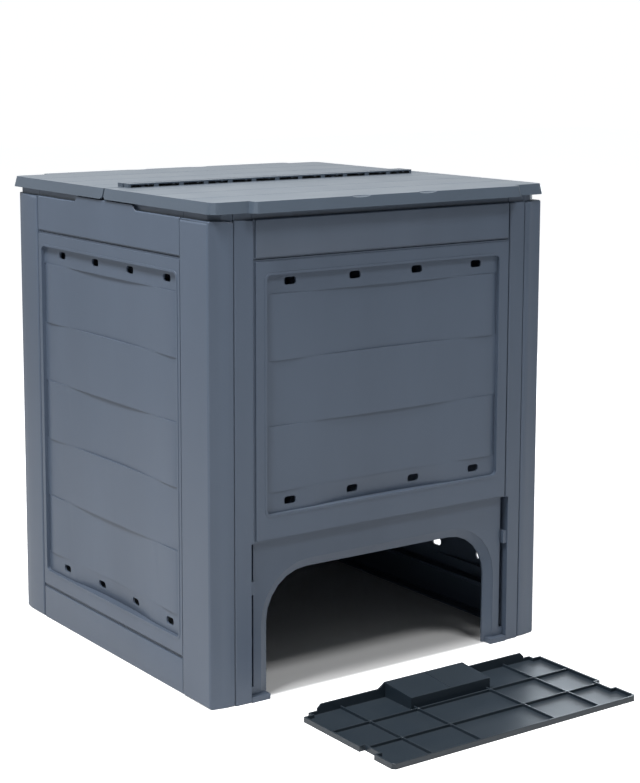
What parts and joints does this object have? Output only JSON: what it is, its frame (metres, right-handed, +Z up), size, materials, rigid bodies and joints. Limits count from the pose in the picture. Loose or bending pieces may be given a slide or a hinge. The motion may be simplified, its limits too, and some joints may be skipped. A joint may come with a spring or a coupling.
{
  "type": "compost bin with lid",
  "caption": "Square plastic compost bin with planked, vented walls, a lid of two hinged flaps and a loose emptying hatch with a grip cup.",
  "frame": {"origin": "on the ground, in the middle of the footprint of the bin and of the hatch lying in front of it", "axes": "+Z up; the front wall with the hatch opening faces -Y; +X to the right as the front wall is seen from outside"},
  "size_m": [0.604, 0.917, 0.7175],
  "materials": {
    "wall_plastic": "satin, light grain",
    "lid_plastic": "satin, light grain",
    "hatch_plastic": "satin, smooth inside",
    "rod_plastic": "satin"
  },
  "bodies": {
    "walls": {"front_left_post": "wall_plastic", "front_right_post": "wall_plastic", "back_left_post": "wall_plastic", "back_right_post": "wall_plastic", "front_left_stile": "wall_plastic", "front_right_stile": "wall_plastic", "back_left_stile": "wall_plastic", "back_right_stile": "wall_plastic", "front_top_rail": "wall_plastic", "back_top_rail": "wall_plastic", "left_top_rail": "wall_plastic", "right_top_rail": "wall_plastic", "left_bottom_rail": "wall_plastic", "right_bottom_rail": "wall_plastic", "back_bottom_rail": "wall_plastic", "front_panel": "wall_plastic", "back_panel": "wall_plastic", "left_panel": "wall_plastic", "right_panel": "wall_plastic", "hatch_frame": "wall_plastic", "hinge_beam": "wall_plastic", "front_hinge_rod": "rod_plastic", "back_hinge_rod": "rod_plastic"},
    "front_flap": {"front_flap": "lid_plastic"},
    "back_flap": {"back_flap": "lid_plastic"},
    "hatch": {"hatch": "hatch_plastic"}
  },
  "joints": [
    {"name": "front_flap_hinge", "type": "hinge", "parent": "walls", "child": "front_flap", "pos_m": [0, 0.1305, 0.7115], "axis": [1, 0, 0], "range_deg": [-80, 0]},
    {"name": "back_flap_hinge", "type": "hinge", "parent": "walls", "child": "back_flap", "pos_m": [0, 0.1505, 0.7115], "axis": [1, 0, 0], "range_deg": [0, 70]},
    {"name": "hatch_swing", "type": "hinge", "parent": "walls", "child": "hatch", "pos_m": [0, -0.20395, -0.04495], "axis": [1, 0, 0], "range_deg": [-90, 0]}
  ]
}
